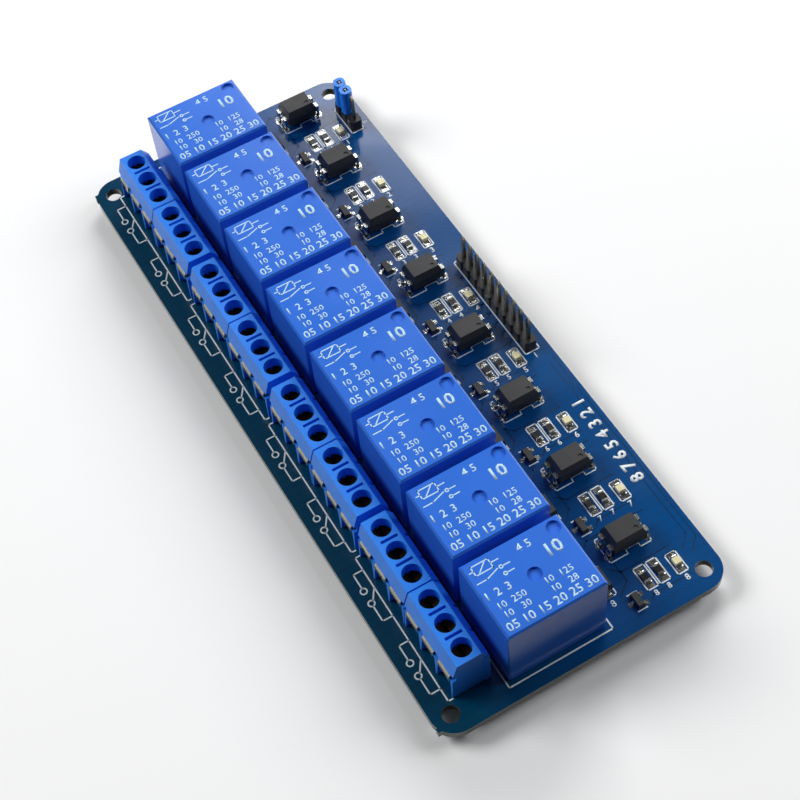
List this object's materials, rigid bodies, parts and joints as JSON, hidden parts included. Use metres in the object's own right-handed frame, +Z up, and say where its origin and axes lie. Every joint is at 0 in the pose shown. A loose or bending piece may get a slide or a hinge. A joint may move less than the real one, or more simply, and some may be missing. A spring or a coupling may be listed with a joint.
{
  "type": "relay module board",
  "caption": "Long narrow circuit board with a row of blue cube relays, screw terminal blocks along one edge, optocouplers, a pin header and a small jumper cap.",
  "frame": {"origin": "under the middle of the board, at the height of the tips of the soldered leads that the module stands on", "axes": "+X along the board's long side, from the jumper end to the other; +Y from the screw terminals to the pin header; +Z up, out of the relay side"},
  "size_m": [0.14, 0.057, 0.019],
  "materials": {
    "board": "glossy solder mask",
    "relay_blue": "glossy",
    "relay_base": "satin",
    "terminal_blue": "satin",
    "nickel": "satin",
    "screw_brass": "dull",
    "package_black": "matte",
    "tinned": "bright",
    "led_cream": "glossy",
    "header_black": "satin",
    "pin_metal": "bright",
    "jumper_blue": "glossy",
    "solder": "bright"
  },
  "bodies": {
    "board": {"circuit_board": "board", "relay_cover_1": "relay_blue", "relay_cover_2": "relay_blue", "relay_cover_3": "relay_blue", "relay_cover_4": "relay_blue", "relay_cover_5": "relay_blue", "relay_cover_6": "relay_blue", "relay_cover_7": "relay_blue", "relay_cover_8": "relay_blue", "relay_base_1": "relay_base", "relay_base_2": "relay_base", "relay_base_3": "relay_base", "relay_base_4": "relay_base", "relay_base_5": "relay_base", "relay_base_6": "relay_base", "relay_base_7": "relay_base", "relay_base_8": "relay_base", "relay_pins": "tinned", "terminal_housing_1": "terminal_blue", "terminal_housing_2": "terminal_blue", "terminal_housing_3": "terminal_blue", "terminal_housing_4": "terminal_blue", "terminal_housing_5": "terminal_blue", "terminal_housing_6": "terminal_blue", "terminal_housing_7": "terminal_blue", "terminal_housing_8": "terminal_blue", "terminal_frames": "nickel", "terminal_leaves": "nickel", "terminal_screws": "screw_brass", "optocoupler_1": "package_black", "optocoupler_2": "package_black", "optocoupler_3": "package_black", "optocoupler_4": "package_black", "optocoupler_5": "package_black", "optocoupler_6": "package_black", "optocoupler_7": "package_black", "optocoupler_8": "package_black", "optocoupler_leads": "tinned", "transistor_1": "package_black", "transistor_2": "package_black", "transistor_3": "package_black", "transistor_4": "package_black", "transistor_5": "package_black", "transistor_6": "package_black", "transistor_7": "package_black", "transistor_8": "package_black", "transistor_leads": "tinned", "diodes": "package_black", "diode_tabs": "tinned", "resistors": "package_black", "resistor_ends": "tinned", "status_leds": "led_cream", "status_led_ends": "tinned", "control_header_body": "header_black", "control_header_pins": "pin_metal", "jumper_header_body": "header_black", "jumper_header_pins": "pin_metal", "solder_joints": "solder"},
    "jumper": {"jumper_cap": "jumper_blue", "jumper_contact": "screw_brass"}
  },
  "joints": [
    {"name": "jumper_lift", "type": "slide", "parent": "board", "child": "jumper", "axis": [0, 0, 1], "range_m": [0, 0.0065]}
  ]
}
